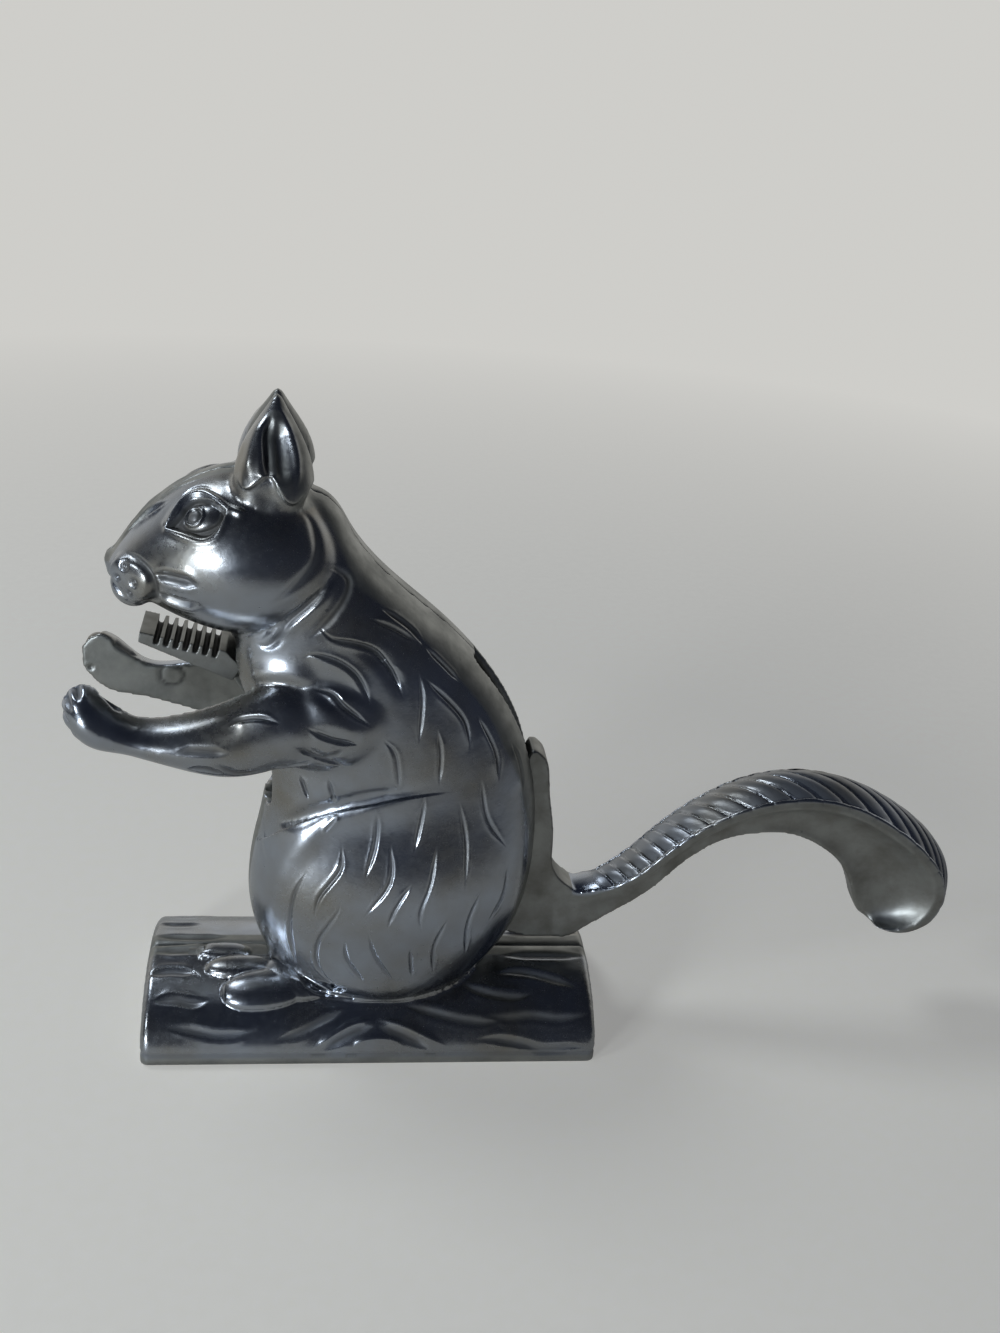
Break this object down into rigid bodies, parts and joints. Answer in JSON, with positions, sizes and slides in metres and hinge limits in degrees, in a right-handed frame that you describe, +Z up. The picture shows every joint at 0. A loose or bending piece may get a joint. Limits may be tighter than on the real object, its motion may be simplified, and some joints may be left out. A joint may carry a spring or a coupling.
{
  "type": "nutcracker",
  "caption": "Squirrel-shaped lever nutcracker: lifting the curled tail closes a ribbed lower jaw on a nut held under the chin, on a log-shaped base.",
  "frame": {"origin": "middle of the log base's flat underside, on the casting line", "axes": "+X from the nose towards the tail, +Y across the squirrel to its right-hand side, +Z up"},
  "size_m": [0.2206, 0.051, 0.161],
  "materials": {
    "body": "polished cast, dark in the carving",
    "lever": "polished cast crown, matte sides",
    "pin": "plain drawn steel"
  },
  "bodies": {
    "casting": {"left_body_half": "body", "right_body_half": "body", "pivot_pin": "pin", "head_dowel": "pin", "nape_dowel": "pin", "log_front_dowel": "pin", "log_rear_dowel": "pin"},
    "lever": {"tail_lever": "lever"}
  },
  "joints": [
    {"name": "tail_pivot", "type": "hinge", "parent": "casting", "child": "lever", "pos_m": [-0.013, 0, 0.061], "axis": [0, -1, 0], "range_deg": [0, 30]}
  ]
}
